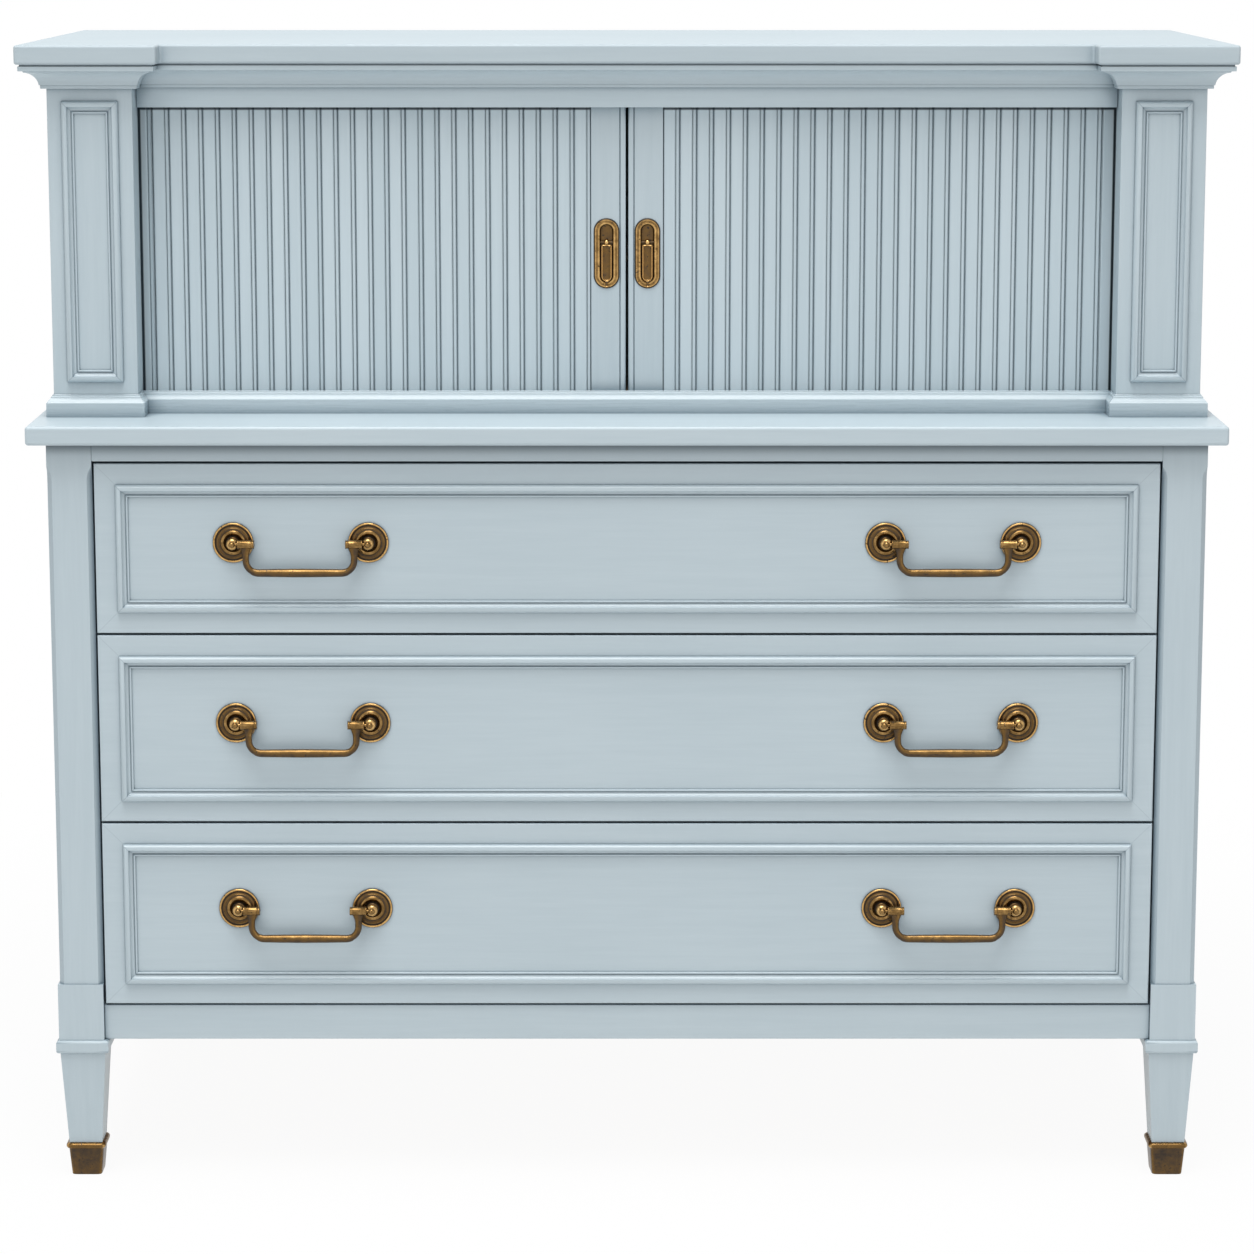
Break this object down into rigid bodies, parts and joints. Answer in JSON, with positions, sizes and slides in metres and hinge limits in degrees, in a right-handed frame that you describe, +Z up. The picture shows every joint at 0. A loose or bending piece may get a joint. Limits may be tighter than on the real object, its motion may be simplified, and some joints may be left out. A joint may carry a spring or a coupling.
{
  "type": "tallboy",
  "caption": "Painted wooden tallboy: drawers with brass bail pulls on tapered legs in brass sabots, under a tambour-door cabinet with panelled pilasters and a cornice.",
  "frame": {"origin": "floor under the middle of the whole tallboy", "axes": "+Z up, the drawers and doors face -Y, +X to the right seen from the front"},
  "size_m": [1.138, 0.504, 1.0825],
  "materials": {
    "painted_wood": "satin pale blue-grey paint",
    "inside_wood": "bare hardwood, lightly sealed",
    "back_board": "bare plywood",
    "brass": "aged brass with dark patina"
  },
  "bodies": {
    "case": {"base_moulding": "painted_wood", "bed_moulding": "painted_wood", "bottom_rail": "painted_wood", "cabinet_ceiling": "inside_wood", "cabinet_floor": "inside_wood", "deck": "painted_wood", "drawer_dividers": "inside_wood", "drawer_kickers": "inside_wood", "drawer_runners": "inside_wood", "dust_bottom": "inside_wood", "frieze_rail": "painted_wood", "lower_back": "back_board", "lower_side_left": "painted_wood", "lower_side_right": "painted_wood", "pilaster_left": "painted_wood", "pilaster_mouldings": "painted_wood", "pilaster_right": "painted_wood", "post_front_left": "painted_wood", "post_front_right": "painted_wood", "post_rear_left": "painted_wood", "post_rear_right": "painted_wood", "rear_rails": "inside_wood", "sabots": "brass", "shelf": "inside_wood", "shelf_pins": "brass", "tambour_left": "painted_wood", "tambour_liners": "inside_wood", "tambour_right": "painted_wood", "top_rail": "painted_wood", "top_slab": "painted_wood", "upper_back": "back_board", "upper_side_left": "painted_wood", "upper_side_right": "painted_wood"},
    "bottom_drawer": {"bottom_drawer_front": "painted_wood", "bottom_drawer_moulding": "painted_wood", "bottom_drawer_box": "inside_wood", "bottom_drawer_bottom": "inside_wood", "bottom_drawer_pull_mounts": "brass"},
    "bottom_bail_left": {"bottom_drawer_bail_left": "brass"},
    "bottom_bail_right": {"bottom_drawer_bail_right": "brass"},
    "middle_drawer": {"middle_drawer_front": "painted_wood", "middle_drawer_moulding": "painted_wood", "middle_drawer_box": "inside_wood", "middle_drawer_bottom": "inside_wood", "middle_drawer_pull_mounts": "brass"},
    "middle_bail_left": {"middle_drawer_bail_left": "brass"},
    "middle_bail_right": {"middle_drawer_bail_right": "brass"},
    "top_drawer": {"top_drawer_front": "painted_wood", "top_drawer_moulding": "painted_wood", "top_drawer_box": "inside_wood", "top_drawer_bottom": "inside_wood", "top_drawer_pull_mounts": "brass"},
    "top_bail_left": {"top_drawer_bail_left": "brass"},
    "top_bail_right": {"top_drawer_bail_right": "brass"},
    "door_left": {"lead_stile_left": "painted_wood", "flush_pull_left": "brass"},
    "drop_left": {"flush_drop_left": "brass"},
    "door_right": {"lead_stile_right": "painted_wood", "flush_pull_right": "brass"},
    "drop_right": {"flush_drop_right": "brass"}
  },
  "joints": [
    {"name": "bottom_drawer_slide", "type": "slide", "parent": "case", "child": "bottom_drawer", "axis": [0, -1, 0], "range_m": [0, 0.34]},
    {"name": "bottom_bail_left_swing", "type": "hinge", "parent": "bottom_drawer", "child": "bottom_bail_left", "pos_m": [-0.306, -0.245, 0.2675], "axis": [-1, 0, 0], "range_deg": [0, 115]},
    {"name": "bottom_bail_right_swing", "type": "hinge", "parent": "bottom_drawer", "child": "bottom_bail_right", "pos_m": [0.306, -0.245, 0.2675], "axis": [-1, 0, 0], "range_deg": [0, 115]},
    {"name": "middle_drawer_slide", "type": "slide", "parent": "case", "child": "middle_drawer", "axis": [0, -1, 0], "range_m": [0, 0.34]},
    {"name": "middle_bail_left_swing", "type": "hinge", "parent": "middle_drawer", "child": "middle_bail_left", "pos_m": [-0.306, -0.245, 0.448], "axis": [-1, 0, 0], "range_deg": [0, 115]},
    {"name": "middle_bail_right_swing", "type": "hinge", "parent": "middle_drawer", "child": "middle_bail_right", "pos_m": [0.306, -0.245, 0.448], "axis": [-1, 0, 0], "range_deg": [0, 115]},
    {"name": "top_drawer_slide", "type": "slide", "parent": "case", "child": "top_drawer", "axis": [0, -1, 0], "range_m": [0, 0.34]},
    {"name": "top_bail_left_swing", "type": "hinge", "parent": "top_drawer", "child": "top_bail_left", "pos_m": [-0.306, -0.245, 0.62075], "axis": [-1, 0, 0], "range_deg": [0, 115]},
    {"name": "top_bail_right_swing", "type": "hinge", "parent": "top_drawer", "child": "top_bail_right", "pos_m": [0.306, -0.245, 0.62075], "axis": [-1, 0, 0], "range_deg": [0, 115]},
    {"name": "door_left_slide", "type": "slide", "parent": "case", "child": "door_left", "axis": [-1, 0, 0], "range_m": [0, 0.33], "deforming": ["tambour_left"]},
    {"name": "drop_left_swing", "type": "hinge", "parent": "door_left", "child": "drop_left", "pos_m": [-0.0195, -0.1324, 0.8939], "axis": [-1, 0, 0], "range_deg": [0, 60]},
    {"name": "door_right_slide", "type": "slide", "parent": "case", "child": "door_right", "axis": [1, 0, 0], "range_m": [0, 0.33], "deforming": ["tambour_right"]},
    {"name": "drop_right_swing", "type": "hinge", "parent": "door_right", "child": "drop_right", "pos_m": [0.0195, -0.1324, 0.8939], "axis": [-1, 0, 0], "range_deg": [0, 60]}
  ]
}
